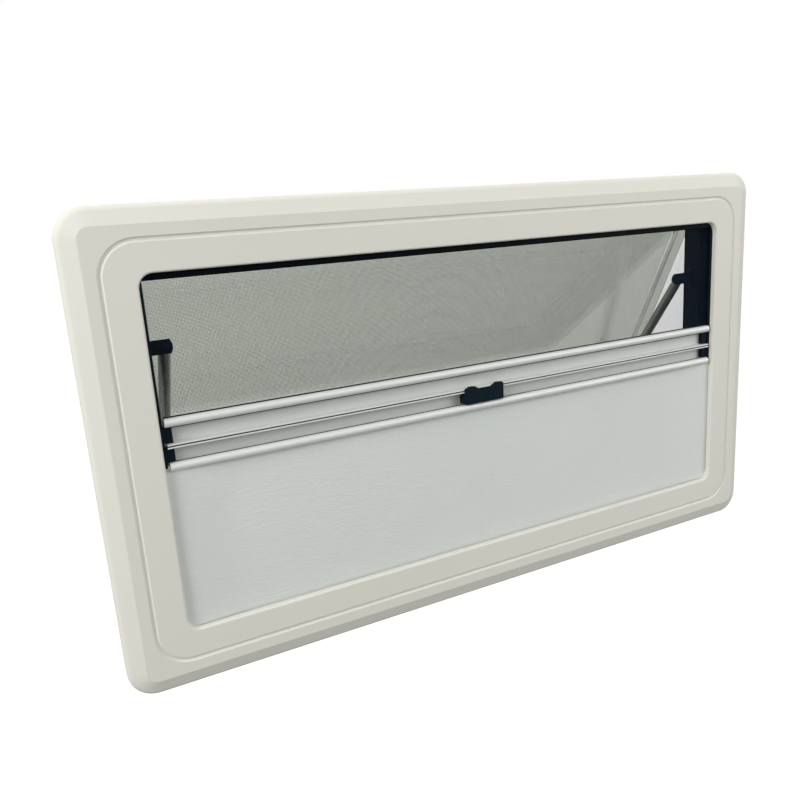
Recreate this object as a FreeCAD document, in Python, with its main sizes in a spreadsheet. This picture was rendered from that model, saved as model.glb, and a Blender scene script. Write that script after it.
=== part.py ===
import FreeCAD, Part
import Sketcher
import math
import os

# Top-hung camper window for a truck body wall, drawn with the pane open.
# Row frame: X right as seen from the room, Y out of the vehicle, Z up.
# The origin is on the bearing face of the outer flange, at the middle of the sill run.
# Bodies are drawn about the middle of the window and lifted by the centre height.

SIZES = {
    # wall and cut-out
    "cutout_width": 900.0,
    "cutout_height": 450.0,
    "cutout_gap": 2.0,
    "wall_thickness": 30.0,
    "cut_past": 1.0,
    # room-side trim moulding
    "trim_overlap": 58.0,
    "trim_height": 26.0,
    "trim_wall": 3.0,
    "trim_corner": 34.0,
    "bevel_run": 21.0,
    "bevel_drop": 8.4,
    "trim_edge_radius": 9.0,
    "sight_side_inset": 17.0,
    "sight_head_inset": 15.0,
    "sight_corner": 16.0,
    "sight_edge_radius": 2.5,
    "lip_depth": 8.0,
    "lip_clear": 0.5,
    "hollow_lap": 0.1,
    "groove_inset": 37.0,
    "groove_width": 6.0,
    "groove_floor": 2.0,
    "groove_depth": 1.8,
    "groove_corner": 40.0,
    "rib_thickness": 2.0,
    "rib_clear": 4.0,
    "rib_root": 0.4,
    # blind and flyscreen module
    "module_depth": 22.0,
    "sheet_plane": 4.0,
    "sheet_thickness": 0.5,
    "cassette_wall": 1.5,
    "cassette_end": 3.0,
    "cassette_drop": 8.0,
    "cassette_edge": 1.0,
    "screen_cassette_height": 21.0,
    "blind_cassette_gap": 6.0,
    "blind_cassette_height": 20.0,
    "blind_cassette_clear": 0.3,
    "slot_width": 5.0,
    "roller_radius": 5.5,
    "journal_radius": 2.5,
    "guide_reach": 4.0,
    "guide_wall": 1.5,
    "guide_edge": 0.6,
    "guide_end_gap": 1.0,
    # bars between flyscreen and blind
    "bar_end_gap": 2.0,
    "bar_meeting": 16.6,
    "bar_gap": 1.6,
    "bead_radius": 5.25,
    "bead_slot_clear": 0.1,
    "screen_bar_height": 26.4,
    "blind_bar_height": 23.8,
    "bar_web": 2.0,
    "bar_flange": 1.8,
    "bar_flange_reach": 13.0,
    "bar_flange_edge": 0.6,
    "bar_web_set_back": 9.0,
    "end_cap_length": 8.0,
    "end_cap_stand": 7.0,
    "end_cap_edge": 1.2,
    "tongue_clear": 0.4,
    "tongue_length": 15.0,
    "tongue_height": 14.0,
    "tongue_thickness": 5.0,
    # catch
    "catch_offset": -4.5,
    "catch_width": 62.0,
    "catch_plate": 2.4,
    "catch_clear": 0.4,
    "catch_drop": 18.0,
    "catch_end": 4.2,
    "catch_shoulder": 6.2,
    "catch_dip": 2.2,
    "catch_curve": 2.4,
    "catch_edge": 0.8,
    "catch_hook": 1.6,
    "catch_hook_reach": 5.0,
    "catch_hook_width": 7.0,
    # outer frame
    "flange_overlap": 26.0,
    "flange_thickness": 4.0,
    "flange_corner": 34.0,
    "frame_edge": 1.5,
    "web_thickness": 10.0,
    "web_corner": 12.0,
    "rim_width": 22.0,
    "rim_projection": 12.0,
    "weep_width": 30.0,
    "weep_depth": 3.0,
    "weep_reach": 14.0,
    "seal_inset": 10.0,
    "seal_width": 8.0,
    "seal_height": 6.0,
    "seal_groove": 2.0,
    "seal_lip_inset": 1.5,
    "seal_head_inset": 1.5,
    "seal_head_width": 6.5,
    # hinge and pane
    "pane_angle": 27.0,
    "hinge_stand": 1.0,
    "hinge_rise": 5.0,
    "socket_radius": 6.0,
    "socket_foot_low": 3.0,
    "socket_foot_high": 4.5,
    "socket_root": 0.4,
    "mouth_back": 3.0,
    "mouth_front": 1.5,
    "bead_hinge_radius": 3.4,
    "hinge_clear": 0.3,
    "hinge_neck": 2.0,
    "clamp_top": 8.0,
    "clamp_depth": 9.0,
    "clamp_wall": 2.0,
    "pane_overlap": 18.5,
    "pane_top": 10.0,
    "pane_corner": 30.0,
    "pane_outer_thickness": 3.0,
    "pane_inner_thickness": 2.5,
    "pane_offset": 2.0,
    "inner_inset": 22.5,
    "inner_head_inset": 8.0,
    "inner_corner": 22.0,
    "bond_width": 10.0,
    "bond_head_width": 3.0,
    "dish_depth": 5.0,
    "dish_run": 2.0,
    "dish_corner": 16.0,
    # stays
    "stay_inset": 30.0,
    "stay_pivot_in": 5.0,
    "stay_pivot_drop": 102.0,
    "stay_foot_rise": 88.5,
    "stay_foot_stand": 17.0,
    "stay_tube_radius": 7.4,
    "stay_tube_wall": 1.2,
    "stay_tube_length": 190.0,
    "stay_tube_start": 5.0,
    "stay_insertion": 37.0,
    "stay_rod_radius": 4.8,
    "stay_pin_radius": 3.0,
    "stay_pin_cap": 5.0,
    "stay_pin_cap_depth": 1.0,
    "stay_clear": 0.25,
    "stay_head_width": 16.0,
    "stay_head_reach": 7.8,
    "stay_head_drop": 8.0,
    "stay_head_corner": 6.5,
    "stay_head_edge": 1.5,
    "stay_collar_radius": 10.0,
    "stay_collar_length": 24.0,
    "flute_radius": 1.3,
    "stay_bracket_width": 26.0,
    "stay_bracket_height": 34.0,
    "stay_bracket_plate": 4.0,
    "stay_bracket_corner": 5.0,
    "stay_bracket_edge": 1.2,
    "stay_foot_width": 28.0,
    "stay_foot_plate": 3.0,
    "stay_foot_corner": 4.0,
    "cheek_tip": 5.0,
    "cheek_middle": 9.0,
    "cheek_root": 11.0,
    "stay_eye_radius": 6.5,
    "stay_eye_width": 8.0,
    "stay_eye_lap": 2.0,
    # latches
    "latch_inset": 180.0,
    "latch_rise": 59.5,
    "latch_width": 46.0,
    "latch_height": 26.0,
    "latch_depth": 12.0,
    "latch_corner": 6.0,
    "latch_edge": 2.5,
    "handle_grip": 46.0,
    "handle_cam": 24.0,
    "handle_width": 14.0,
    "handle_thickness": 7.0,
    "handle_corner": 6.0,
    "handle_edge": 1.5,
    "hub_radius": 10.0,
    "hub_rise": 1.5,
    "keeper_width": 40.0,
    "keeper_height": 16.0,
    "keeper_depth": 17.0,
    "keeper_base": 3.0,
    "keeper_lip": 3.0,
    "keeper_draft": 1.0,
    "keeper_clear": 0.5,
}

# places along the runs, as parts of half a width or height
RIB_PLACES_X = (-0.84, -0.42, 0.0, 0.42, 0.84)
RIB_PLACES_Z = (-0.6, 0.0, 0.6)
WEEP_PLACES = (-0.35, 0.35)
CATCH_EDGE = (
    (1.0, "catch_end"),
    (0.9, "catch_shoulder"),
    (0.58, "catch_shoulder"),
    (0.32, "catch_dip"),
    (-0.28, "catch_dip"),
    (-0.5, "catch_shoulder"),
    (-0.76, "catch_shoulder"),
    (-1.0, "catch_end"),
)
CATCH_HOOKS = (0.74, -0.63)
FLUTES = 10
SLACK = 0.01
START_TURN = 10

doc = FreeCAD.newDocument("Window")
sheet = doc.addObject("Spreadsheet::Sheet", "Sizes")
for row, (name, number) in enumerate(SIZES.items(), 1):
    sheet.set(f"A{row}", name)
    sheet.set(f"B{row}", str(number))
    sheet.setAlias(f"B{row}", name)
doc.recompute()


class Size:
    # a number together with the sheet expression that gives it
    def __init__(self, value, text):
        self.value = value
        self.text = text

    def __add__(self, other):
        other = size(other)
        return Size(self.value + other.value, f"({self.text} + {other.text})")

    def __sub__(self, other):
        other = size(other)
        return Size(self.value - other.value, f"({self.text} - {other.text})")

    def __mul__(self, other):
        other = size(other)
        return Size(self.value * other.value, f"({self.text} * {other.text})")

    def __truediv__(self, other):
        other = size(other)
        return Size(self.value / other.value, f"({self.text} / {other.text})")

    def __neg__(self):
        return Size(-self.value, f"(0 - {self.text})")

    def __radd__(self, other):
        return size(other) + self

    def __rsub__(self, other):
        return size(other) - self

    def __rmul__(self, other):
        return size(other) * self


def size(thing):
    if isinstance(thing, Size):
        return thing
    if isinstance(thing, str):
        return Size(float(sheet.get(thing)), f"Sizes.{thing}")
    return Size(float(thing), f"{float(thing):.6f}")


def sine(angle):
    return Size(math.sin(math.radians(angle.value)), f"sin({angle.text} * 1 deg)")


def cosine(angle):
    return Size(math.cos(math.radians(angle.value)), f"cos({angle.text} * 1 deg)")


def length_of(across, along):
    value = math.hypot(across.value, along.value)
    return Size(value, f"sqrt({across.text} * {across.text} + {along.text} * {along.text})")


def slope_of(across, along):
    value = math.degrees(math.atan2(across.value, along.value))
    return Size(value, f"(atan2({across.text}; {along.text}) / 1 deg)")


def bind(thing, path, amount):
    thing.setExpression(path, size(amount).text)


s = size
PLANES = {"x": "YZ_Plane", "y": "XZ_Plane", "z": "XY_Plane"}
NODES = []

# planes and levels shared by several sub-parts, measured from the bearing face
past = s("cut_past")
half_cut_x = s("cutout_width") / 2
half_cut_z = s("cutout_height") / 2
centre_height = half_cut_z + s("flange_overlap") / 2
trim_back = -s("wall_thickness")
trim_face = trim_back - s("trim_height")
module_front = trim_face + s("lip_depth")
module_back = module_front + s("module_depth")
half_sight_x = half_cut_x - s("sight_side_inset")
half_sight_z = half_cut_z - s("sight_head_inset")
half_trim_x = half_cut_x + s("trim_overlap")
half_trim_z = half_cut_z + s("trim_overlap")
web_out_x = half_cut_x - s("cutout_gap")
web_out_z = half_cut_z - s("cutout_gap")
web_in_x = web_out_x - s("web_thickness")
web_in_z = web_out_z - s("web_thickness")

# the two cassettes and their rollers
screen_case_low = half_sight_z - s("cassette_drop")
screen_case_high = screen_case_low + s("screen_cassette_height")
blind_case_high = -(half_sight_z + s("blind_cassette_gap"))
blind_case_low = blind_case_high - s("blind_cassette_height")
screen_roll_z = (screen_case_low + screen_case_high) / 2
blind_roll_z = (blind_case_low + blind_case_high) / 2

# sheets and bars
sheet_back = module_front + s("sheet_plane") + s("sheet_thickness") / 2
sheet_front = sheet_back - s("sheet_thickness")
roller_y = sheet_back + s("roller_radius")
guide_in = half_sight_x - s("guide_reach")
bar_half = guide_in - s("bar_end_gap")
bead_line = module_front
web_front = bead_line + s("bar_web_set_back")
web_rear = web_front + s("bar_web")
flange_front = web_front - s("bar_flange_reach")
screen_low = s("bar_meeting") + s("bar_gap") / 2
blind_high = s("bar_meeting") - s("bar_gap") / 2
screen_bead = screen_low + s("screen_bar_height")
blind_bead = blind_high - s("blind_bar_height")

# hinge and pane, in the pane's own turned frame below the hinge line
tilt = s("pane_angle")
hinge_out = s("rim_projection") + s("seal_height") + s("hinge_stand")
hinge_height = half_cut_z + s("hinge_rise")
pane_half = half_cut_x + s("pane_overlap")
pane_low = hinge_height + half_cut_z + s("pane_overlap")
pane_in = s("pane_offset") - s("pane_outer_thickness")
dish_front = pane_in - s("pane_inner_thickness")
foot_face = dish_front - s("dish_depth")
latch_x = half_cut_x - s("latch_inset")
latch_z = s("latch_rise") - pane_low

# the two pivots of a stay, out and up from the middle of the window
stay_x = web_in_x - s("stay_inset")
frame_pivot_y = -s("stay_pivot_in")
frame_pivot_z = half_cut_z - s("stay_pivot_drop")
foot_y = foot_face - s("stay_foot_stand")
foot_z = s("stay_foot_rise") - pane_low
pane_pivot_y = hinge_out + foot_y * cosine(tilt) - foot_z * sine(tilt)
pane_pivot_z = hinge_height + foot_y * sine(tilt) + foot_z * cosine(tilt)
stay_across = pane_pivot_y - frame_pivot_y
stay_along = frame_pivot_z - pane_pivot_z
stay_span = length_of(stay_across, stay_along)
stay_slope = slope_of(stay_across, stay_along)
tube_end = s("stay_tube_start") + s("stay_tube_length")
pin_hole = s("stay_pin_radius") + s("stay_clear")


def new_body(label, out=0, up=0, turn=None):
    body = doc.addObject("PartDesign::Body", label)
    body.Label = label
    if turn is not None:
        # a first turn fixes the axis, and the expression then sets the angle
        axis = FreeCAD.Rotation(FreeCAD.Vector(1, 0, 0), START_TURN)
        body.Placement = FreeCAD.Placement(FreeCAD.Vector(0, 0, 0), axis)
        body.setExpression("Placement.Rotation.Angle", f"{turn.text} * 1 deg")
    bind(body, "Placement.Base.y", out)
    bind(body, "Placement.Base.z", centre_height + up)
    NODES.append(body)
    return body


def pane_body(label):
    return new_body(label, out=hinge_out, up=hinge_height, turn=tilt)


def stay_body(label):
    return new_body(label, out=frame_pivot_y, up=frame_pivot_z, turn=stay_slope)


def new_sketch(body, axis, level):
    sketch = body.newObject("Sketcher::SketchObject", "Outline")
    planes = [item for item in body.Origin.OriginFeatures if item.Role == PLANES[axis]]
    sketch.AttachmentSupport = (planes[0], [""])
    sketch.MapMode = "FlatFace"
    level = s(level)
    bind(sketch, "AttachmentOffset.Base.z", -level if axis == "y" else level)
    return sketch


def pin(sketch, geometry, point, across, along):
    for kind, amount in (("DistanceX", across), ("DistanceY", along)):
        amount = s(amount)
        index = sketch.addConstraint(Sketcher.Constraint(kind, -1, 1, geometry, point, amount.value))
        sketch.setExpression(f"Constraints[{index}]", amount.text)


def polygon(*points):
    def draw(sketch):
        spots = [FreeCAD.Vector(s(a).value, s(b).value, 0) for a, b in points]
        count = len(points)
        first = sketch.GeometryCount
        for index in range(count):
            line = Part.LineSegment(spots[index], spots[(index + 1) % count])
            sketch.addGeometry(line, False)
        for index in range(count):
            after = first + (index + 1) % count
            sketch.addConstraint(Sketcher.Constraint("Coincident", first + index, 2, after, 1))
        for index, (across, along) in enumerate(points):
            pin(sketch, first + index, 1, across, along)
    return draw


def rectangle(left, right, low, high):
    return polygon((left, low), (right, low), (right, high), (left, high))


def circle(across, along, radius):
    def draw(sketch):
        radius_size = s(radius)
        middle = FreeCAD.Vector(s(across).value, s(along).value, 0)
        ring = Part.Circle(middle, FreeCAD.Vector(0, 0, 1), radius_size.value)
        index = sketch.addGeometry(ring, False)
        pin(sketch, index, 3, across, along)
        tie = sketch.addConstraint(Sketcher.Constraint("Radius", index, radius_size.value))
        sketch.setExpression(f"Constraints[{tie}]", radius_size.text)
    return draw


def rounded(left, right, low, high, radius):
    # rectangle with four equal rounded corners
    left, right, low, high, radius = s(left), s(right), s(low), s(high), s(radius)
    corners = [
        (left + radius, low + radius, 180),
        (right - radius, low + radius, 270),
        (right - radius, high - radius, 0),
        (left + radius, high - radius, 90),
    ]

    def draw(sketch):
        first = sketch.GeometryCount
        up = FreeCAD.Vector(0, 0, 1)
        reach = radius.value
        for across, along, start in corners:
            middle = FreeCAD.Vector(across.value, along.value, 0)
            ring = Part.Circle(middle, up, reach)
            arc = Part.ArcOfCircle(ring, math.radians(start), math.radians(start + 90))
            sketch.addGeometry(arc, False)
        for index in range(4):
            end = sketch.getPoint(first + index, 2)
            start = sketch.getPoint(first + (index + 1) % 4, 1)
            sketch.addGeometry(Part.LineSegment(end, start), False)
        for index in range(4):
            after = first + (index + 1) % 4
            line = first + 4 + index
            sketch.addConstraint(Sketcher.Constraint("Tangent", first + index, 2, line, 1))
            sketch.addConstraint(Sketcher.Constraint("Tangent", line, 2, after, 1))
        for index in range(1, 4):
            sketch.addConstraint(Sketcher.Constraint("Equal", first, first + index))
        tie = sketch.addConstraint(Sketcher.Constraint("Radius", first, reach))
        sketch.setExpression(f"Constraints[{tie}]", radius.text)
        pin(sketch, first, 3, corners[0][0], corners[0][1])
        pin(sketch, first + 2, 3, corners[2][0], corners[2][1])
        sketch.addConstraint(Sketcher.Constraint("Horizontal", first + 4))
        sketch.addConstraint(Sketcher.Constraint("Vertical", first + 5))
    return draw


def centred(half_x, half_z, radius):
    return rounded(-s(half_x), half_x, -s(half_z), half_z, radius)


def extrude(body, axis, start, end, *drawings, cut=False):
    # material, or a cut, between two levels along one axis
    sketch = new_sketch(body, axis, start)
    for draw in drawings:
        draw(sketch)
    before = body.Shape.Volume if body.Tip else 0
    kind = "Pocket" if cut else "Pad"
    feature = body.newObject(f"PartDesign::{kind}", kind)
    feature.Profile = sketch
    bind(feature, "Length", s(end) - start)
    feature.Reversed = (axis == "y") != cut
    doc.recompute()
    if cut and not body.Shape.Volume < before - SLACK:
        raise RuntimeError(f"a cut in {body.Label} takes nothing away")
    return feature


def loft(body, axis, level_a, draw_a, level_b, draw_b, cut=False):
    first = new_sketch(body, axis, level_a)
    draw_a(first)
    second = new_sketch(body, axis, level_b)
    draw_b(second)
    kind = "SubtractiveLoft" if cut else "AdditiveLoft"
    feature = body.newObject(f"PartDesign::{kind}", kind)
    feature.Profile = first
    feature.Sections = [second]
    feature.Ruled = True
    doc.recompute()
    return feature


def edges_where(body, test):
    names = []
    for index, edge in enumerate(body.Tip.Shape.Edges, 1):
        middle = edge.valueAt((edge.FirstParameter + edge.LastParameter) / 2)
        if test(middle, edge.BoundBox):
            names.append(f"Edge{index}")
    if not names:
        raise RuntimeError(f"no edge to work on in {body.Label}")
    return names


def round_edges(body, radius, test):
    names = edges_where(body, test)
    base = body.Tip
    feature = body.newObject("PartDesign::Fillet", "Fillet")
    feature.Base = (base, names)
    bind(feature, "Radius", radius)
    doc.recompute()
    return feature


def near(a, b):
    return abs(a - s(b).value) < SLACK


def flat_at(box, level):
    return near(box.YMin, level) and near(box.YMax, level)


def end_at(box, level):
    return near(box.XMin, level) and near(box.XMax, level)


def along_x(box, y_level, z_level):
    return flat_at(box, y_level) and near(box.ZMin, z_level) and near(box.ZMax, z_level)


def ordered(a, b):
    return (a, b) if a.value < b.value else (b, a)


def trim_shell(body):
    # block with a sloping bevel all round the front, then the soft outer edge
    extrude(body, "y", trim_face, trim_back, centred(half_trim_x, half_trim_z, "trim_corner"))
    base = body.Tip
    front = edges_where(body, lambda mid, box: flat_at(box, trim_face))
    bevel = body.newObject("PartDesign::Chamfer", "Bevel")
    bevel.Base = (base, front)
    bevel.ChamferType = "Two distances"
    bind(bevel, "Size", "bevel_run")
    bind(bevel, "Size2", "bevel_drop")
    doc.recompute()
    crest = half_trim_x - s("bevel_run")
    if not any(near(vertex.X, crest) for vertex in body.Shape.Vertexes):
        bevel.FlipDirection = True
        doc.recompute()
    shoulder = trim_face + s("bevel_drop")
    round_edges(body, "trim_edge_radius", lambda mid, box: flat_at(box, shoulder))


def trim_opening(body):
    opening = centred(half_sight_x, half_sight_z, "sight_corner")
    extrude(body, "y", trim_face - past, trim_back + past, opening, cut=True)
    reach_x = half_sight_x.value + SLACK
    reach_z = half_sight_z.value + SLACK
    round_edges(body, "sight_edge_radius",
                lambda mid, box: flat_at(box, trim_face) and abs(mid.x) < reach_x and abs(mid.z) < reach_z)


def trim_hollow(body):
    # skirt and face keep one wall, and a short lip stays round the opening
    wall = s("trim_wall")
    depth = trim_face + s("bevel_drop") + wall
    inside = s("trim_corner") - wall
    lip_x = half_sight_x + wall
    lip_z = half_sight_z + wall
    lip_corner = s("sight_corner") + wall
    lip = centred(lip_x, lip_z, lip_corner)
    hollow = centred(half_trim_x - wall, half_trim_z - wall, inside)
    extrude(body, "y", depth, trim_back + past, hollow, lip, cut=True)
    flat_x = half_trim_x - s("bevel_run") - wall / 2
    flat_z = half_trim_z - s("bevel_run") - wall / 2
    face = centred(flat_x, flat_z, inside)
    extrude(body, "y", trim_face + wall, depth + s("hollow_lap"), face, lip, cut=True)
    short = centred(lip_x + s("lip_clear"), lip_z + s("lip_clear"), lip_corner)
    extrude(body, "y", module_front, trim_back + past, short, cut=True)


def rib_layer(body, start, end, far_x, far_z):
    clear = s("rib_clear")
    half = s("rib_thickness") / 2
    ribs = []
    for place in RIB_PLACES_X:
        middle = half_sight_x * place
        ribs.append(rectangle(middle - half, middle + half, screen_case_high + clear, far_z))
        ribs.append(rectangle(middle - half, middle + half, -far_z, blind_case_low - clear))
    for place in RIB_PLACES_Z:
        middle = half_sight_z * place
        ribs.append(rectangle(web_out_x + clear, far_x, middle - half, middle + half))
        ribs.append(rectangle(-far_x, -(web_out_x + clear), middle - half, middle + half))
    extrude(body, "y", start, end, *ribs)


def trim_ribs(body):
    # thin ribs across the hollow back: under the face, then out to the skirt, clear of the wall
    wall = s("trim_wall")
    root = s("rib_root")
    depth = trim_face + s("bevel_drop") + wall
    inset = s("bevel_run") + wall / 2 - root
    skirt = wall - root
    rib_layer(body, trim_face + wall - root, depth + root, half_trim_x - inset, half_trim_z - inset)
    rib_layer(body, depth, trim_back - s("rib_clear"), half_trim_x - skirt, half_trim_z - skirt)


def trim_groove(body):
    # decorative groove swept round the face
    line_x = half_trim_x - s("groove_inset")
    line_z = half_trim_z - s("groove_inset")
    path = new_sketch(body, "y", trim_face)
    centred(line_x, line_z, "groove_corner")(path)
    half = s("groove_width") / 2
    floor = s("groove_floor") / 2
    deep = trim_face + s("groove_depth")
    above = trim_face - past
    profile = new_sketch(body, "x", 0)
    polygon((above, line_z - half), (trim_face, line_z - half), (deep, line_z - floor),
            (deep, line_z + floor), (trim_face, line_z + half), (above, line_z + half))(profile)
    groove = body.newObject("PartDesign::SubtractivePipe", "Groove")
    groove.Profile = profile
    groove.Spine = (path, [f"Edge{number}" for number in range(1, 9)])
    doc.recompute()


def make_trim():
    body = new_body("trim_frame")
    trim_shell(body)
    trim_opening(body)
    trim_hollow(body)
    trim_ribs(body)
    trim_groove(body)


def make_cassette(label, low, high, front, back, slot_at_low):
    body = new_body(label)
    wall = s("cassette_wall")
    end = s("cassette_end")
    half = web_out_x
    slot_in = sheet_front - s("slot_width") / 2
    slot_out = sheet_back + s("slot_width") / 2
    near_z, far_z = (low, high) if slot_at_low else (high, low)
    inside, deep = (low + wall, high - wall) if slot_at_low else (high - wall, low + wall)
    outline = polygon((slot_in, near_z), (front, near_z), (front, far_z), (back, far_z), (back, near_z),
                      (slot_out, near_z), (slot_out, inside), (back - wall, inside), (back - wall, deep),
                      (front + wall, deep), (front + wall, inside), (slot_in, inside))
    extrude(body, "x", -half, half, outline)
    box = rectangle(front, back, low, high)
    extrude(body, "x", -half, -half + end, box)
    extrude(body, "x", half - end, half, box)
    round_edges(body, "cassette_edge",
                lambda mid, box: along_x(box, front, low) or along_x(box, front, high))


def make_roller(label, middle_z):
    body = new_body(label)
    half = web_out_x - s("cassette_end")
    barrel = half - s("cassette_end")
    extrude(body, "x", -half, half, circle(roller_y, middle_z, "journal_radius"))
    extrude(body, "x", -barrel, barrel, circle(roller_y, middle_z, "roller_radius"))


def make_guide(label, side):
    body = new_body(label)
    wall = s("guide_wall")
    inner = side * guide_in
    outer = side * web_out_x
    back = side * (web_out_x - wall)
    outline = polygon((inner, module_front), (outer, module_front), (outer, module_back),
                      (inner, module_back), (inner, module_back - wall), (back, module_back - wall),
                      (back, module_front + wall), (inner, module_front + wall))
    low = blind_case_high + s("guide_end_gap")
    extrude(body, "z", low, screen_case_low, outline)
    round_edges(body, "guide_edge", lambda mid, box: end_at(box, inner) and flat_at(box, module_front))


def make_bar(name, bead_z, flange_z, way):
    # one drawn profile in three strips, so that the finger space between bead and lip stays free
    thick = s("bar_web") / 2
    low, high = ordered(flange_z, bead_z - way * thick)
    web = new_body(f"{name}_web")
    extrude(web, "x", -bar_half, bar_half, rectangle(web_front, web_rear, low, high))
    low, high = ordered(flange_z, flange_z + way * s("bar_flange"))
    lip = new_body(f"{name}_lip")
    extrude(lip, "x", -bar_half, bar_half, rectangle(flange_front, web_front, low, high))
    round_edges(lip, "bar_flange_edge",
                lambda mid, box: along_x(box, flange_front, low) or along_x(box, flange_front, high))
    make_bead(f"{name}_bead", bead_z, way)


def make_bead(label, bead_z, way):
    # rolled bead with a slot for the sheet, on a shelf that stands on the web
    body = new_body(label)
    thick = s("bar_web") / 2
    extrude(body, "x", -bar_half, bar_half,
            rectangle(bead_line, web_rear, bead_z - thick, bead_z + thick))
    extrude(body, "x", -bar_half, bar_half, circle(bead_line, bead_z, "bead_radius"))
    clear = s("bead_slot_clear")
    floor, mouth = ordered(bead_z + way * thick, bead_z + way * s("bead_radius"))
    slot = rectangle(sheet_front - clear, sheet_back + clear, floor, mouth)
    extrude(body, "x", -bar_half - past, bar_half + past, slot, cut=True)


def make_slider(label, side, bead_z, flange_z, way):
    # end cap between flange and bead, with a tongue that runs in the guide
    body = new_body(label)
    low, high = ordered(flange_z + way * s("bar_flange"), bead_z - way * s("bead_radius"))
    inner = side * (bar_half - s("end_cap_length"))
    outer = side * (bar_half + s("bar_end_gap") / 2)
    tip = side * (bar_half + s("tongue_length"))
    front = web_front - s("end_cap_stand")
    middle = (low + high) / 2
    reach = s("tongue_height") / 2
    tongue = module_front + s("guide_wall") + s("tongue_clear")
    left, right = ordered(inner, outer)
    extrude(body, "x", left, right, rectangle(front, web_front, low, high))
    round_edges(body, "end_cap_edge", lambda mid, box: flat_at(box, front) and end_at(box, inner))
    left, right = ordered(inner + side * s("end_cap_edge"), tip)
    extrude(body, "x", left, right,
            rectangle(tongue, tongue + s("tongue_thickness"), middle - reach, middle + reach))


def make_catch():
    # front plate with a thumb dip between two shoulders, and hooks over the upper flange
    body = new_body("bar_catch")
    middle = s("catch_offset")
    half = s("catch_width") / 2
    clear = s("catch_clear")
    back = flange_front - clear
    front = back - s("catch_plate")
    low = blind_high - s("catch_drop")
    crest = [(middle + half * place, blind_high + s(rise)) for place, rise in CATCH_EDGE]
    plate = polygon((middle - half, low), (middle + half, low), *crest)
    extrude(body, "y", front, back, plate)
    round_edges(body, "catch_curve", lambda mid, box: near(mid.y, (front + back) / 2))
    round_edges(body, "catch_edge", lambda mid, box: flat_at(box, front))
    inside = blind_high - s("bar_flange") - clear
    block = rectangle(middle - half + clear, middle + half - clear, low + clear, inside)
    extrude(body, "y", back, web_front, block)
    hook_low = screen_low + s("bar_flange") + clear
    width = s("catch_hook_width") / 2
    hooks = []
    for place in CATCH_HOOKS:
        spot = middle + half * place
        hooks.append(rectangle(spot - width, spot + width, hook_low, hook_low + s("catch_hook")))
    extrude(body, "y", back, back + s("catch_hook_reach"), *hooks)


def make_sheet(label, low, high):
    body = new_body(label)
    half = half_sight_x + s("guide_reach")
    extrude(body, "x", -half, half, rectangle(sheet_front, sheet_back, low, high))


def seal_ring(shrink):
    # outer and inner outline of the seal, pulled in from both sides
    in_x = web_in_x + s("seal_inset")
    low = web_in_z + s("seal_inset")
    high = web_in_z + s("seal_head_inset")
    width = s("seal_width")
    corner = s("web_corner") + s("seal_inset") / 2
    inner = rounded(-(in_x + shrink), in_x + shrink, -(low + shrink), high + shrink, corner)
    out_x = in_x + width - shrink
    outer = rounded(-out_x, out_x, -(low + width - shrink), high + s("seal_head_width") - shrink,
                    corner + width)
    return outer, inner


def make_outer_frame():
    body = new_body("outer_frame")
    rim_x = web_in_x + s("rim_width")
    rim_z = web_in_z + s("rim_width")
    front = s("rim_projection")
    shelf = s("flange_thickness")
    corner = s("web_corner")
    flange = centred(half_cut_x + s("flange_overlap"), half_cut_z + s("flange_overlap"), "flange_corner")
    extrude(body, "y", 0, shelf, flange)
    extrude(body, "y", shelf, front, centred(rim_x, rim_z, corner + s("rim_width")))
    outside_x = rim_x.value + SLACK
    outside_z = rim_z.value + SLACK
    round_edges(body, "frame_edge",
                lambda mid, box: flat_at(box, front)
                or (flat_at(box, shelf) and (abs(mid.x) > outside_x or abs(mid.z) > outside_z)))
    extrude(body, "y", module_back, 0, centred(web_out_x, web_out_z, corner + s("web_thickness")))
    extrude(body, "y", module_back - past, front + past, centred(web_in_x, web_in_z, corner), cut=True)
    extrude(body, "y", front - s("seal_groove"), front + past, *seal_ring(s(0)), cut=True)
    # weep slots let water off the sill
    half = s("weep_width") / 2
    slots = []
    for place in WEEP_PLACES:
        middle = half_cut_x * place
        slots.append(rectangle(middle - half, middle + half, -(web_in_z + s("weep_depth")), past - web_in_z))
    extrude(body, "y", front - s("weep_reach"), front + past, *slots, cut=True)


def make_seal():
    body = new_body("pane_seal")
    face = s("rim_projection")
    extrude(body, "y", face - s("seal_groove"), face, *seal_ring(s(0)))
    extrude(body, "y", face, face + s("seal_height"), *seal_ring(s("seal_lip_inset")))


def make_hinge_socket():
    body = new_body("hinge_socket", out=hinge_out, up=hinge_height)
    half = web_in_x
    ring = s("socket_radius")
    bore = s("bead_hinge_radius") + s("hinge_clear")
    foot = s("rim_projection") - hinge_out
    back = s("mouth_back")
    extrude(body, "x", -half, half, circle(0, 0, ring), circle(0, 0, bore))
    block = rectangle(foot, -(bore + s("socket_root")), -s("socket_foot_low"), "socket_foot_high")
    extrude(body, "x", -half, half, block)
    mouth = polygon((-back, -(ring + past)), (ring + back, -(ring + past)),
                    (ring + back, -s("mouth_front")), (0, 0))
    extrude(body, "x", -half - past, half + past, mouth, cut=True)


def make_hinge_rail():
    # round bead for the socket, neck, and a clamp over the outer sheet's edge
    body = pane_body("pane_hinge_rail")
    half = web_in_x
    top = -s("clamp_top")
    low = top - s("clamp_depth")
    wall = s("clamp_wall")
    outer = s("pane_offset")
    edge = -s("pane_top")
    neck = s("hinge_neck") / 2
    outline = polygon((pane_in - wall, low), (pane_in, low), (pane_in, edge), (outer, edge), (outer, low),
                      (outer + wall, low), (outer + wall, top), (neck, top), (neck, 0), (-neck, 0),
                      (-neck, top), (pane_in - wall, top))
    extrude(body, "x", -half, half, outline)
    extrude(body, "x", -half, half, circle(0, 0, "bead_hinge_radius"))


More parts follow.
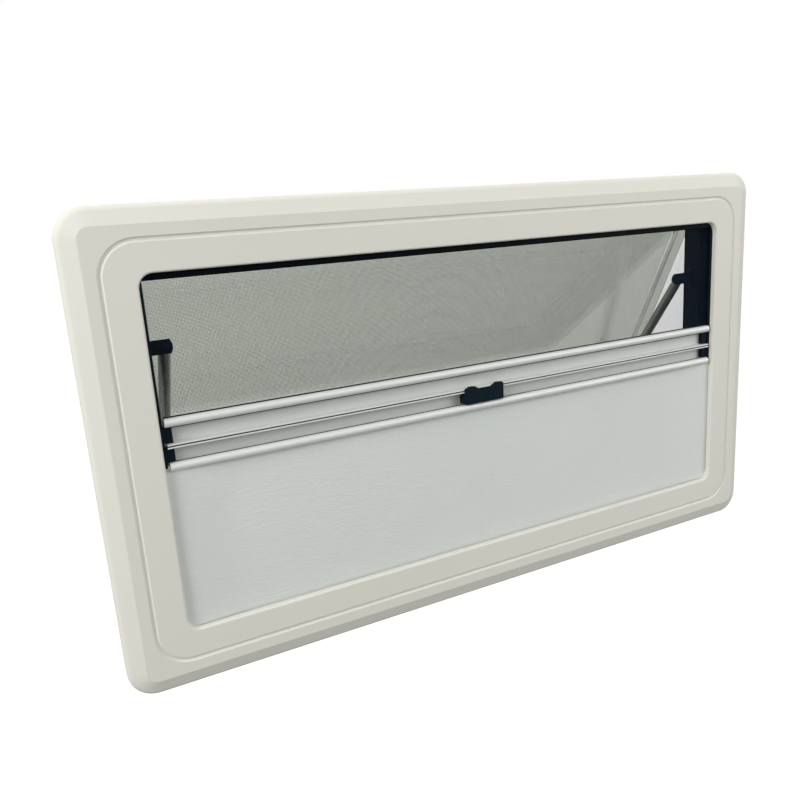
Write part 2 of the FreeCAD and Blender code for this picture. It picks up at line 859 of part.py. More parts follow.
def pane_outline(inset, head, corner):
    half = pane_half - inset
    return rounded(-half, half, inset - pane_low, -(s("pane_top") + head), corner)


def make_outer_glazing():
    body = pane_body("outer_glazing")
    extrude(body, "y", pane_in, "pane_offset", pane_outline(s(0), s(0), "pane_corner"))


def make_inner_glazing():
    # bonded flange with a shallow dish that stands in from the outer sheet
    body = pane_body("inner_glazing")
    thick = s("pane_inner_thickness")
    inset = s("inner_inset")
    head = s("inner_head_inset")
    rim = inset + s("bond_width")
    rim_head = head + s("bond_head_width")
    run = s("dish_run")
    corner = s("dish_corner")
    extrude(body, "y", dish_front, pane_in, pane_outline(inset, head, "inner_corner"))
    loft(body, "y", dish_front, pane_outline(rim, rim_head, corner + run),
         foot_face, pane_outline(rim + run, rim_head + run, corner))
    inside = rim + thick
    inside_head = rim_head + thick
    loft(body, "y", pane_in, pane_outline(inside, inside_head, corner + run),
         foot_face + thick, pane_outline(inside + run, inside_head + run, corner), cut=True)


def make_stay_bracket(label, side):
    # plate on the jamb with a pivot pin and the pin's cap
    body = new_body(label, out=frame_pivot_y, up=frame_pivot_z)
    plate = side * s("stay_bracket_plate")
    jamb = side * web_in_x
    wide = s("stay_bracket_width") / 2
    tall = s("stay_bracket_height") / 2
    left, right = ordered(jamb - plate, jamb)
    extrude(body, "x", left, right, rounded(-wide, wide, -tall, tall, "stay_bracket_corner"))
    round_edges(body, "stay_bracket_edge", lambda mid, box: end_at(box, jamb - plate))
    end = side * (stay_x - s("stay_head_reach") - s("stay_clear"))
    cap = end - side * s("stay_pin_cap_depth")
    left, right = ordered(end, jamb - plate)
    extrude(body, "x", left, right, circle(0, 0, "stay_pin_radius"))
    left, right = ordered(cap, end)
    extrude(body, "x", left, right, circle(0, 0, "stay_pin_cap"))


def make_stay_head(label, side):
    # knuckle on the pin that takes the end of the tube
    body = stay_body(label)
    inner = side * (stay_x - s("stay_head_reach"))
    outer = side * (web_in_x - s("stay_bracket_plate") - s("stay_clear"))
    left, right = ordered(inner, outer)
    reach = s("stay_head_width") / 2
    low = -s("stay_head_drop")
    extrude(body, "x", left, right, rounded(-reach, reach, low, reach, "stay_head_corner"))
    round_edges(body, "stay_head_edge", lambda mid, box: end_at(box, inner))
    extrude(body, "x", left - past, right + past, circle(0, 0, pin_hole), cut=True)
    extrude(body, "z", low - past, -s("stay_tube_start"), circle(side * stay_x, 0, "stay_tube_radius"),
            cut=True)


def make_stay_tube(label, side):
    body = stay_body(label)
    outer = s("stay_tube_radius")
    inner = outer - s("stay_tube_wall")
    middle = side * stay_x
    extrude(body, "z", -tube_end, -s("stay_tube_start"), circle(middle, 0, outer), circle(middle, 0, inner))


def make_stay_collar(label, side):
    # fluted locking collar over the tube's end
    body = stay_body(label)
    middle = side * stay_x
    radius = s("stay_collar_radius")
    lap = s("stay_collar_length") / 2
    low = -(tube_end + lap)
    high = lap - tube_end
    extrude(body, "z", low, high, circle(middle, 0, radius), circle(middle, 0, "stay_rod_radius"))
    extrude(body, "z", -tube_end, high + past, circle(middle, 0, "stay_tube_radius"), cut=True)
    flutes = []
    for number in range(FLUTES):
        angle = s(number) * 360 / FLUTES
        flutes.append(circle(middle + radius * cosine(angle), radius * sine(angle), "flute_radius"))
    extrude(body, "z", low - past, high + past, *flutes, cut=True)


def make_stay_rod(label, side):
    body = stay_body(label)
    middle = side * stay_x
    eye = s("stay_eye_radius")
    half = s("stay_eye_width") / 2
    left, right = middle - half, middle + half
    extrude(body, "z", -(stay_span - eye + s("stay_eye_lap")), s("stay_insertion") - tube_end,
            circle(middle, 0, "stay_rod_radius"))
    extrude(body, "x", left, right, circle(0, -stay_span, eye))
    extrude(body, "x", left - past, right + past, circle(0, -stay_span, pin_hole), cut=True)


def make_stay_foot(label, side):
    # plate on the pane with two cheeks and the lower pin
    body = pane_body(label)
    wide = s("stay_foot_width") / 2
    plate = s("stay_foot_plate")
    tip, waist, root = s("cheek_tip"), s("cheek_middle"), s("cheek_root")
    middle = side * stay_x
    base = foot_face - plate
    extrude(body, "y", base, foot_face,
            rounded(middle - wide, middle + wide, foot_z - wide, foot_z + wide, "stay_foot_corner"))
    half = s("stay_eye_width") / 2 + s("stay_clear")
    cheek = polygon((foot_y - tip, foot_z - tip), (foot_y + tip, foot_z - waist), (base, foot_z - root),
                    (base, foot_z + root), (foot_y + tip, foot_z + waist), (foot_y - tip, foot_z + tip))
    extrude(body, "x", middle + half, middle + half + plate, cheek)
    extrude(body, "x", middle - half - plate, middle - half, cheek)
    extrude(body, "x", middle - half - plate, middle + half + plate,
            circle(foot_y, foot_z, "stay_pin_radius"))


def make_latch(label, side):
    body = pane_body(label)
    middle = side * latch_x
    half = s("latch_width") / 2
    tall = s("latch_height") / 2
    front = foot_face - s("latch_depth")
    extrude(body, "y", front, foot_face,
            rounded(middle - half, middle + half, latch_z - tall, latch_z + tall, "latch_corner"))
    round_edges(body, "latch_edge", lambda mid, box: flat_at(box, front))


def make_latch_handle(label, side):
    # hub with a long grip to the middle of the window and a short cam
    body = pane_body(label)
    middle = side * latch_x
    wide = s("handle_width") / 2
    back = foot_face - s("latch_depth")
    front = back - s("handle_thickness")
    left, right = ordered(middle - side * s("handle_grip"), middle + side * s("handle_cam"))
    extrude(body, "y", front, back, rounded(left, right, latch_z - wide, latch_z + wide, "handle_corner"))
    round_edges(body, "handle_edge", lambda mid, box: flat_at(box, front))
    extrude(body, "y", front - s("hub_rise"), back, circle(middle, latch_z, "hub_radius"))


def make_keeper(label, side):
    # step on the sill that the closed latch's cam goes behind
    body = new_body(label)
    middle = side * latch_x
    half = s("keeper_width") / 2
    low = -web_in_z
    high = low + s("keeper_height")
    step = low + s("keeper_base")
    lip_in = hinge_out + foot_face - s("latch_depth") + s("keeper_clear")
    lip_out = lip_in + s("keeper_lip")
    room = lip_in - s("keeper_depth")
    outline = polygon((room, low), (lip_out, low), (lip_out, high), (lip_in, high),
                      (lip_in - s("keeper_draft"), step), (room, step))
    extrude(body, "x", middle - half, middle + half, outline)


def build_room_side():
    make_trim()
    make_cassette("flyscreen_cassette", screen_case_low, screen_case_high, module_front, module_back, True)
    make_cassette("blind_cassette", blind_case_low, blind_case_high, trim_face + s("trim_wall"),
                  trim_back - s("blind_cassette_clear"), False)
    make_roller("flyscreen_roller", screen_roll_z)
    make_roller("blind_roller", blind_roll_z)
    make_bar("flyscreen_bar", screen_bead, screen_low, 1)
    make_bar("blind_bar", blind_bead, blind_high, -1)
    for side, name in ((-1, "left"), (1, "right")):
        make_guide(f"side_guide_{name}", side)
        make_slider(f"flyscreen_slider_{name}", side, screen_bead, screen_low, 1)
        make_slider(f"blind_slider_{name}", side, blind_bead, blind_high, -1)
    make_catch()
    make_sheet("flyscreen", screen_bead + s("bar_web") / 2, screen_roll_z)
    make_sheet("blind_fabric", blind_roll_z, blind_bead - s("bar_web") / 2)


def build_outer_side():
    make_outer_frame()
    make_seal()
    make_hinge_socket()
    make_hinge_rail()
    make_outer_glazing()
    make_inner_glazing()
    for side, name in ((-1, "left"), (1, "right")):
        make_stay_bracket(f"stay_bracket_{name}", side)
        make_stay_head(f"stay_head_{name}", side)
        make_stay_tube(f"stay_tube_{name}", side)
        make_stay_collar(f"stay_collar_{name}", side)
        make_stay_rod(f"stay_rod_{name}", side)
        make_stay_foot(f"stay_foot_{name}", side)
        make_latch(f"latch_base_{name}", side)
        make_latch_handle(f"latch_handle_{name}", side)
        make_keeper(f"latch_keeper_{name}", side)


build_room_side()
build_outer_side()
doc.recompute()
for item in doc.Objects:
    if "Invalid" in item.State or "Error" in item.State:
        raise RuntimeError(f"{item.Label} did not build")
os.makedirs("parts", exist_ok=True)
for body in NODES:
    shape = body.Shape
    if shape.isNull() or not shape.isValid() or len(shape.Solids) != 1:
        raise RuntimeError(f"{body.Label} is not one sound solid")
    shape.exportStep(f"parts/{body.Label}.step")
print(f"{len(NODES)} sub-parts written")
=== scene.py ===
import bpy, bmesh, math
from mathutils import Matrix, Vector, noise


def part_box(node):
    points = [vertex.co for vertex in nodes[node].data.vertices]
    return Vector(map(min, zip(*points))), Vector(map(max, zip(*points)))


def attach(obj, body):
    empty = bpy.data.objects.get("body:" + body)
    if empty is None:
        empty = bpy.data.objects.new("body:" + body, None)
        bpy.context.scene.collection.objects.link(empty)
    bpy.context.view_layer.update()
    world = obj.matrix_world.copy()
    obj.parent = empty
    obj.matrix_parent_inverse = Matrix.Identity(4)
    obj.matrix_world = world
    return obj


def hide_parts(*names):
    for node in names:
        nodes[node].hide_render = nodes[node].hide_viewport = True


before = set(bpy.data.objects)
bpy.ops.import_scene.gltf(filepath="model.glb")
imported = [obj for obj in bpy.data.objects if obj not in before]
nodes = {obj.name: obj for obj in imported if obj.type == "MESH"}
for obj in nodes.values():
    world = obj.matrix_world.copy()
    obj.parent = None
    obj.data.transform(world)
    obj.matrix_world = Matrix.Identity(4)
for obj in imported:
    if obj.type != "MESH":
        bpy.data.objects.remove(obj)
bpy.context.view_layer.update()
scene = bpy.context.scene
scene.view_settings.view_transform = "Standard"
sides = {"left": -1, "right": 1}
print("frame loaded:", len(nodes), "nodes")


def newMaterial(name, roughness=0.5, metallic=0.0, specular=0.5):
    mat = bpy.data.materials.new(name)
    mat.use_nodes = True
    shader = mat.node_tree.nodes["Principled BSDF"]
    shader.inputs["Roughness"].default_value = roughness
    shader.inputs["Metallic"].default_value = metallic
    shader.inputs["Specular IOR Level"].default_value = specular
    return mat, mat.node_tree, shader


def addNode(tree, kind, **settings):
    node = tree.nodes.new(kind)
    for key, value in settings.items():
        if key in node.inputs:
            node.inputs[key].default_value = value
        else:
            setattr(node, key, value)
    return node


def objectCoords(tree, stretch=None):
    coords = addNode(tree, "ShaderNodeTexCoord").outputs["Object"]
    if stretch is None:
        return coords
    mapping = addNode(tree, "ShaderNodeMapping", Scale=stretch)
    tree.links.new(coords, mapping.inputs["Vector"])
    return mapping.outputs["Vector"]


def noiseNode(tree, scale, detail=3.0, rough=0.5, stretch=None):
    tex = addNode(tree, "ShaderNodeTexNoise", Scale=scale, Detail=detail, Roughness=rough)
    tree.links.new(objectCoords(tree, stretch), tex.inputs["Vector"])
    return tex.outputs["Fac"]


mixColor = {"low": 6, "high": 7, "result": 2}  # the Mix node's colour sockets
noiseSpan = {"low": 0.3, "high": 0.7}  # most of a noise texture lies between these


def colorRange(tree, shader, factor, low, high):
    mix = addNode(tree, "ShaderNodeMix", data_type="RGBA")
    tree.links.new(factor, mix.inputs["Factor"])
    mix.inputs[mixColor["low"]].default_value = (*low, 1)
    mix.inputs[mixColor["high"]].default_value = (*high, 1)
    tree.links.new(mix.outputs[mixColor["result"]], shader.inputs["Base Color"])


def colorSpread(tree, shader, factor, color, spread):
    low = [(1 - spread) * channel for channel in color]
    high = [(1 + spread) * channel for channel in color]
    colorRange(tree, shader, factor, low, high)


def roughRange(tree, shader, factor, low, high):
    span = addNode(tree, "ShaderNodeMapRange")
    tree.links.new(factor, span.inputs["Value"])
    span.inputs["From Min"].default_value = noiseSpan["low"]
    span.inputs["From Max"].default_value = noiseSpan["high"]
    span.inputs["To Min"].default_value = low
    span.inputs["To Max"].default_value = high
    tree.links.new(span.outputs["Result"], shader.inputs["Roughness"])


def bumpFrom(tree, shader, height, strength, distance):
    bump = addNode(tree, "ShaderNodeBump", Strength=strength, Distance=distance)
    tree.links.new(height, bump.inputs["Height"])
    tree.links.new(bump.outputs["Normal"], shader.inputs["Normal"])


def mixFactor(tree, operation, first, second):
    node = addNode(tree, "ShaderNodeMath", operation=operation)
    tree.links.new(first, node.inputs[0])
    tree.links.new(second, node.inputs[1])
    return node.outputs[0]


def dress(names, mat):
    for name in names:
        obj = nodes[name]
        obj.data.materials.clear()
        obj.data.materials.append(mat)


def pair(*stems):
    return [f"{stem}_{side}" for stem in stems for side in sides]


# finishes

def creamMoulding():
    mat, tree, shader = newMaterial("creamMoulding", specular=0.25)
    colorRange(tree, shader, noiseNode(tree, scale=4),
               low=(0.705, 0.695, 0.626), high=(0.735, 0.725, 0.656))
    roughRange(tree, shader, noiseNode(tree, scale=22), low=0.5, high=0.6)
    bumpFrom(tree, shader, noiseNode(tree, scale=1300, detail=2), strength=0.07, distance=0.0004)
    return mat


def blackMoulding():
    mat, tree, shader = newMaterial("blackMoulding", specular=0.07)
    colorRange(tree, shader, noiseNode(tree, scale=70),
               low=(0.0034, 0.0096, 0.015), high=(0.005, 0.0128, 0.02))
    roughRange(tree, shader, noiseNode(tree, scale=160), low=0.42, high=0.56)
    bumpFrom(tree, shader, noiseNode(tree, scale=1700, detail=2), strength=0.14, distance=0.0003)
    return mat


def blackCoat(name, color, sheen, tint):
    mat, tree, shader = newMaterial(name, specular=sheen)
    shader.inputs["Specular Tint"].default_value = (*tint, 1)
    colorSpread(tree, shader, noiseNode(tree, scale=40), color, spread=0.18)
    roughRange(tree, shader, noiseNode(tree, scale=90), low=0.4, high=0.52)
    bumpFrom(tree, shader, noiseNode(tree, scale=650, detail=4), strength=0.16, distance=0.0003)
    return mat


def barMetal(name, color, smooth, rough):
    mat, tree, shader = newMaterial(name, metallic=0.12, specular=0.4)
    grain = noiseNode(tree, scale=1, rough=0.6, stretch=(3, 1500, 1500))  # drawn along the bar
    colorSpread(tree, shader, noiseNode(tree, scale=9), color, spread=0.025)
    roughRange(tree, shader, grain, smooth, rough)
    bumpFrom(tree, shader, grain, strength=0.05, distance=0.0002)
    return mat


def stayMetal():
    mat, tree, shader = newMaterial("stayMetal", metallic=0.9)
    grain = noiseNode(tree, scale=1, rough=0.6, stretch=(900, 40, 40))
    colorRange(tree, shader, noiseNode(tree, scale=30), low=(0.44, 0.45, 0.41), high=(0.5, 0.51, 0.47))
    roughRange(tree, shader, grain, low=0.24, high=0.38)
    return mat


def rollerMetal():
    mat, tree, shader = newMaterial("rollerMetal", metallic=0.9)
    grain = noiseNode(tree, scale=1, detail=2, stretch=(8, 900, 900))
    colorRange(tree, shader, noiseNode(tree, scale=20), low=(0.46, 0.46, 0.46), high=(0.54, 0.54, 0.54))
    roughRange(tree, shader, grain, low=0.34, high=0.48)
    return mat


def acrylicSheet(name, low, high):
    mat, tree, shader = newMaterial(name)
    shader.inputs["Transmission Weight"].default_value = 1.0
    shader.inputs["IOR"].default_value = 1.49
    colorRange(tree, shader, noiseNode(tree, scale=3), low, high)
    roughRange(tree, shader, noiseNode(tree, scale=8), low=0.0, high=0.012)
    return mat


def sealRubber():
    mat, tree, shader = newMaterial("sealRubber", specular=0.3)
    colorRange(tree, shader, noiseNode(tree, scale=50),
               low=(0.009, 0.009, 0.009), high=(0.018, 0.018, 0.017))
    roughRange(tree, shader, noiseNode(tree, scale=120), low=0.62, high=0.8)
    bumpFrom(tree, shader, noiseNode(tree, scale=900), strength=0.2, distance=0.0003)
    return mat


def screenThread():
    mat, tree, shader = newMaterial("screenThread", roughness=0.6, specular=0.1)
    colorRange(tree, shader, noiseNode(tree, scale=25, detail=4),
               low=(0.004, 0.01, 0.021), high=(0.01, 0.018, 0.035))
    return mat


def blindCrepe():
    mat, tree, shader = newMaterial("blindCloth", specular=0.25)
    shader.inputs["Sheen Weight"].default_value = 0.15
    crepe = noiseNode(tree, scale=1, detail=4, rough=0.6, stretch=(120, 60, 420))  # short level wrinkles
    colorRange(tree, shader, noiseNode(tree, scale=6, detail=4),
               low=(0.648, 0.684, 0.652), high=(0.694, 0.712, 0.69))
    roughRange(tree, shader, noiseNode(tree, scale=300), low=0.68, high=0.82)
    bumpFrom(tree, shader, crepe, strength=0.7, distance=0.0009)
    return mat


def screwMetal():
    mat, tree, shader = newMaterial("screwMetal", metallic=0.4, specular=0.2)
    colorRange(tree, shader, noiseNode(tree, scale=400),
               low=(0.02, 0.021, 0.022), high=(0.04, 0.04, 0.042))
    roughRange(tree, shader, noiseNode(tree, scale=700), low=0.28, high=0.45)
    return mat


blackPlastic = blackMoulding()
rubber = sealRubber()
frameCoat = blackCoat("frameCoat", color=(0.003, 0.0055, 0.0078), sheen=0.12, tint=(0.85, 0.95, 1.0))
cassetteCoat = blackCoat("cassetteCoat", color=(0.0022, 0.0038, 0.0048), sheen=0.035, tint=(0.8, 0.93, 1.0))
webFinish = barMetal("webMetal", color=(0.585, 0.605, 0.58), smooth=0.5, rough=0.6)
# the beads and lips get a lighter copy of the bars' metal: a painted highlight for the light they catch
beadPaintedHighlight = barMetal("beadMetalPaintedHighlight", color=(0.685, 0.705, 0.677), smooth=0.46, rough=0.56)
smokedPane = acrylicSheet("smokedAcrylic", low=(0.545, 0.572, 0.512), high=(0.565, 0.588, 0.528))
clearPane = acrylicSheet("clearAcrylic", low=(0.94, 0.957, 0.935), high=(0.96, 0.972, 0.955))
dress(["trim_frame"], creamMoulding())
dress(["bar_catch"] + pair("side_guide", "flyscreen_slider", "blind_slider", "stay_bracket", "stay_head",
                           "stay_collar", "stay_foot", "latch_base", "latch_handle", "latch_keeper"),
      blackPlastic)
dress(["outer_frame", "hinge_socket", "pane_hinge_rail"], frameCoat)
dress(["flyscreen_cassette", "blind_cassette"], cassetteCoat)
dress(["flyscreen_bar_web", "blind_bar_web"], webFinish)
# beads and lips in the lighter copy, a painted highlight
dress(["flyscreen_bar_bead", "flyscreen_bar_lip", "blind_bar_bead", "blind_bar_lip"], beadPaintedHighlight)
dress(pair("stay_tube", "stay_rod"), stayMetal())
dress(["flyscreen_roller", "blind_roller"], rollerMetal())
dress(["outer_glazing"], smokedPane)
dress(["inner_glazing"], clearPane)
dress(["pane_seal"], rubber)
print("finishes set")


def makePiece(bm, name, mat, stands=None):
    mesh = bpy.data.meshes.new(name)
    bmesh.ops.recalc_face_normals(bm, faces=bm.faces)
    bm.to_mesh(mesh)
    bm.free()
    mesh.materials.append(mat)
    obj = bpy.data.objects.new(name, mesh)
    scene.collection.objects.link(obj)
    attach(obj, "root")
    if stands:
        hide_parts(stands)
    return obj


def shadeSmooth(obj, angle=0.6):
    for polygon in obj.data.polygons:
        polygon.use_smooth = True
    obj.data.set_sharp_from_angle(angle=angle)


def addBar(bm, low, high, turn=Matrix()):
    # straight bar between two corners
    low, high = Vector(low), Vector(high)
    place = turn @ Matrix.Translation((low + high) / 2) @ Matrix.Diagonal((*(high - low), 1))
    return bmesh.ops.create_cube(bm, size=1.0, matrix=place)["verts"]


def addSoftBar(bm, low, high, edge, turn=Matrix()):
    verts = addBar(bm, low, high, turn)
    rims = list({rim for vert in verts for rim in vert.link_edges})
    bmesh.ops.bevel(bm, geom=rims, offset=edge, segments=2, profile=0.5, affect="EDGES", material=-1)


def joinInto(bm, part, place):
    part.transform(place)
    mesh = bpy.data.meshes.new("joined")
    part.to_mesh(mesh)
    part.free()
    bm.from_mesh(mesh)
    bpy.data.meshes.remove(mesh)


# flyscreen of fine upright threads with deeper cross threads behind them
screenCloth = {"pitch": 0.0015, "uprightWidth": 0.0002, "uprightDepth": 0.0002,
               "crossWidth": 0.00022, "crossDepth": 0.00048}


def threadPlaces(start, end, width):
    count = int((end - start - width) / screenCloth["pitch"])
    step = (end - start - width) / count
    return [start + index * step for index in range(count + 1)]


def buildFlyscreen():
    low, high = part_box("flyscreen")
    front = (low[1] + high[1]) / 2 - screenCloth["crossDepth"] / 2
    back = front + screenCloth["crossDepth"]
    bm = bmesh.new()
    width = screenCloth["uprightWidth"]
    for x in threadPlaces(low[0], high[0], width):
        addBar(bm, (x, front - screenCloth["uprightDepth"], low[2]), (x + width, front, high[2]))
    width = screenCloth["crossWidth"]
    for z in threadPlaces(low[2], high[2], width):
        addBar(bm, (low[0], front, z), (high[0], back, z + width))
    obj = makePiece(bm, "screenWeave", screenThread(), "flyscreen")


# blind, a thin crepe cloth that comes forward over the guides' edges at both sides
blindSheet = {
    "across": 180, "up": 60, "thickness": 0.0005,
    "halfSeen": 0.4326, "halfTucked": 0.4285,  # half widths above and below the trim's edge
    "trimEdge": 0.0282, "tuck": 0.004,
    "forward": 0.0042, "bendFrom": 0.35, "bendTo": 0.424,
    "heldShare": 1 / 6,  # of the height, flat towards the roller and the bar
    "waves": [{"size": 0.0007, "across": 7, "slant": 5, "up": 4, "layer": 3.1},
              {"size": 0.000245, "across": 19, "slant": -14, "up": 9, "layer": 8.4}],
}


def smoothStep(value, start, end):
    share = min(1.0, max(0.0, (value - start) / (end - start)))
    return share * share * (3 - 2 * share)


def waveAt(wave, x, z):
    spot = Vector((wave["across"] * x + wave["slant"] * z, wave["up"] * z, wave["layer"]))
    return wave["size"] * noise.noise(spot)


def blindSpot(share, z, low, high):
    # place on the cloth for a share of its half width, from -1 to 1
    seen = smoothStep(z, blindSheet["trimEdge"] - blindSheet["tuck"], blindSheet["trimEdge"])
    half = blindSheet["halfTucked"] + seen * (blindSheet["halfSeen"] - blindSheet["halfTucked"])
    x = share * half
    edge = min(z - low[2], high[2] - z) / (high[2] - low[2])
    loose = min(1.0, edge / blindSheet["heldShare"])
    bend = smoothStep(abs(x), blindSheet["bendFrom"], blindSheet["bendTo"]) * seen
    ripple = loose * sum(waveAt(wave, x, z) for wave in blindSheet["waves"])
    return x, (low[1] + high[1]) / 2 + ripple - blindSheet["forward"] * bend, z


def buildBlind():
    low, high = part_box("blind_fabric")
    bm = bmesh.new()
    bmesh.ops.create_grid(bm, x_segments=blindSheet["across"], y_segments=blindSheet["up"], size=1.0)
    for vert in bm.verts:
        z = low[2] + (high[2] - low[2]) * (vert.co.y + 1) / 2
        vert.co = blindSpot(vert.co.x, z, low, high)
    bm.normal_update()
    bmesh.ops.solidify(bm, geom=bm.faces[:], thickness=blindSheet["thickness"])
    obj = makePiece(bm, "blindCloth", blindCrepe(), "blind_fabric")
    shadeSmooth(obj)


buildFlyscreen()
buildBlind()
print("flyscreen and blind made")

# black strip that holds the flyscreen's edge in its bar; it stands a little over the bead as a dark line,
# painted shade for the gap above the bead
edgeStripAndShade = {"height": 0.0028, "thickness": 0.0018, "rise": 0.0008, "edge": 0.0004}


def buildEdgeStripAndShade():
    low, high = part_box("flyscreen")
    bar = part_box("flyscreen_bar_bead")
    middle = (low[1] + high[1]) / 2
    half = edgeStripAndShade["thickness"] / 2
    # raised by its rise so it shows as a dark line over the bead: painted shade
    top = bar[1][2] + edgeStripAndShade["rise"]
    bm = bmesh.new()
    addSoftBar(bm, (bar[0][0], middle - half, top - edgeStripAndShade["height"]), (bar[1][0], middle + half, top),
               edgeStripAndShade["edge"])
    makePiece(bm, "screenEdgeStripAndShade", blackPlastic)


# dark rubber strip in the gap where the two bars meet, set back from their lips: painted shade that darkens
# the gap
gapShadeStrip = {"setBack": 0.0007, "clear": 0.00015, "edge": 0.0003}


def buildGapShadeStrip():
    upper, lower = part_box("flyscreen_bar_lip"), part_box("blind_bar_lip")
    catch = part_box("bar_catch")
    front = upper[0][1] + gapShadeStrip["setBack"]
    back = upper[1][1]
    low, high = lower[1][2] + gapShadeStrip["clear"], upper[0][2] - gapShadeStrip["clear"]
    bm = bmesh.new()
    for start, end in ((upper[0][0], catch[0][0]), (catch[1][0], upper[1][0])):
        addSoftBar(bm, (start, front, low), (end, back, high), gapShadeStrip["edge"])
    # the strip is painted shade for the gap between the bars
    makePiece(bm, "barGapShadeStrip", rubber)


# dark cords in the grooves between the bars' beads and webs, with heights from the beads' edges: painted
# shade for the shadow under the upper bead and over the lower bead
grooveShadeCord = {"half": 0.4185, "clear": 0.00005, "edge": 0.0003,
              "upper": {"depth": 0.0016, "low": -0.003, "high": -0.0001},
              "lower": {"depth": 0.0024, "low": -0.0042, "high": -0.0014}}


def buildGrooveShadeCords():
    half = grooveShadeCord["half"]
    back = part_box("flyscreen_bar_web")[0][1] - grooveShadeCord["clear"]
    seats = {"upper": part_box("flyscreen_bar_bead")[0][2], "lower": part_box("blind_bar_bead")[1][2]}
    bm = bmesh.new()
    for which, seat in seats.items():
        cord = grooveShadeCord[which]
        addSoftBar(bm, (-half, back - cord["depth"], seat + cord["low"]), (half, back, seat + cord["high"]),
                   grooveShadeCord["edge"])
    # the cords are painted shade in the grooves
    makePiece(bm, "grooveShadeCords", rubber)


# the open pane's own directions: across, up and out
paneTilt = math.radians(27)
paneUp = Vector((0, -math.sin(paneTilt), math.cos(paneTilt)))
paneOut = Vector((0, math.cos(paneTilt), math.sin(paneTilt)))
paneTurn = Matrix(((1, 0, 0), paneUp, paneOut)).transposed()


def paneBox(node):
    # box of a node along the pane's own directions
    spots = [paneTurn.transposed() @ vert.co for vert in nodes[node].data.vertices]
    return [[pick(spot[axis] for spot in spots) for axis in range(3)] for pick in (min, max)]


latchHub = {"fromTip": 0.024}  # from the tip of the handle's cam to the hub's middle


def hubSpot(side, sign):
    # middle of a latch hub's room face
    low, high = paneBox(f"latch_handle_{side}")
    tip = high[0] if sign > 0 else low[0]
    return Vector((tip - sign * latchHub["fromTip"], (low[1] + high[1]) / 2, low[2]))


# screws with a hexagon socket, and where they sit on the fittings
fittingScrew = {
    "radius": 0.0032, "height": 0.0019, "rounding": 0.00114, "segments": 24,
    "socket": 0.0014, "depth": 0.0012, "draft": 0.000056, "rimShare": 0.8,
    "bracketPlate": 0.004, "bracketRise": 0.0125,
    "keeperShift": 0.013, "keeperFront": 0.0065, "keeperSole": 0.003,
    "footAcross": (0.0034, 0.0246), "footUp": (0.006, 0.022), "footSole": 0.003, "footScale": 0.8,
}


def topFace(bm):
    return max(bm.faces, key=lambda face: face.calc_center_median().z)


def addScrew(bm, place, axis, scale=1.0):
    radius, height, rounding = (fittingScrew[key] * scale for key in ("radius", "height", "rounding"))
    socket, depth, draft = (fittingScrew[key] * scale for key in ("socket", "depth", "draft"))
    part = bmesh.new()
    bmesh.ops.create_cone(part, cap_ends=True, segments=fittingScrew["segments"], radius1=radius,
                          radius2=radius, depth=height, matrix=Matrix.Translation((0, 0, height / 2)))
    bmesh.ops.bevel(part, geom=topFace(part).edges[:], offset=rounding, segments=3, profile=0.5,
                    affect="EDGES", material=-1)
    top = topFace(part)
    rim = (radius - rounding - socket) * fittingScrew["rimShare"]
    bmesh.ops.inset_individual(part, faces=[top], thickness=rim)
    side = math.pi / 3  # angle of one side of the hexagon
    for vert in top.verts:
        angle = math.atan2(vert.co.y, vert.co.x)
        bend = (angle + side / 2) % side - side / 2
        vert.co.xy = Vector((math.cos(angle), math.sin(angle))) * socket / math.cos(bend)
    bmesh.ops.inset_individual(part, faces=[top], thickness=draft, depth=-depth)
    turn = Vector(axis).to_track_quat("Z", "Y").to_matrix().to_4x4()
    joinInto(bm, part, Matrix.Translation(place) @ turn)


def addBracketScrews(bm, side, sign):
    low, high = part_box(f"stay_bracket_{side}")
    jamb = high[0] if sign > 0 else low[0]
    x = jamb - sign * fittingScrew["bracketPlate"]
    y, z = [(low[axis] + high[axis]) / 2 for axis in (1, 2)]
    for rise in (-fittingScrew["bracketRise"], fittingScrew["bracketRise"]):
        addScrew(bm, (x, y, z + rise), (-sign, 0, 0))


def addKeeperScrews(bm, side):
    low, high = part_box(f"latch_keeper_{side}")
    x = (low[0] + high[0]) / 2
    y, z = low[1] + fittingScrew["keeperFront"], low[2] + fittingScrew["keeperSole"]
    for shift in (-fittingScrew["keeperShift"], fittingScrew["keeperShift"]):
        addScrew(bm, (x + shift, y, z), (0, 0, 1))


def addFootScrews(bm, side):
    low, high = paneBox(f"stay_foot_{side}")
    for across in fittingScrew["footAcross"]:
        for up in fittingScrew["footUp"]:
            spot = Vector((low[0] + across, low[1] + up, high[2] - fittingScrew["footSole"]))
            addScrew(bm, paneTurn @ spot, -paneOut, fittingScrew["footScale"])


def buildScrews():
    bm = bmesh.new()
    for side, sign in sides.items():
        addBracketScrews(bm, side, sign)
        addKeeperScrews(bm, side)
        addFootScrews(bm, side)
        addScrew(bm, paneTurn @ hubSpot(side, sign), -paneOut)
    obj = makePiece(bm, "fittingScrews", screwMetal())
    shadeSmooth(obj)


# ribs on the grips of the latch handles, counted from their hubs
gripRib = {"count": 5, "start": 0.0245, "step": 0.0042, "width": 0.0017, "length": 0.0086, "rise": 0.0007,
           "edge": 0.0003, "behindHub": 0.0015}


def buildGripRibs():
    bm = bmesh.new()
    half, tall = gripRib["width"] / 2, gripRib["length"] / 2
    for side, sign in sides.items():
        hub = hubSpot(side, sign)
        face = hub.z + gripRib["behindHub"]
        for index in range(gripRib["count"]):
            x = hub.x - sign * (gripRib["start"] + index * gripRib["step"])
            addSoftBar(bm, (x - half, hub.y - tall, face - gripRib["rise"]), (x + half, hub.y + tall, face),
                       gripRib["edge"], paneTurn.to_4x4())
    obj = makePiece(bm, "gripRibs", blackPlastic)
    shadeSmooth(obj)


# end caps on the hinge, cut to the profiles of its rail and socket
hingeCap = {"thickness": 0.0018, "near": 0.00001, "flatAngle": 0.01}


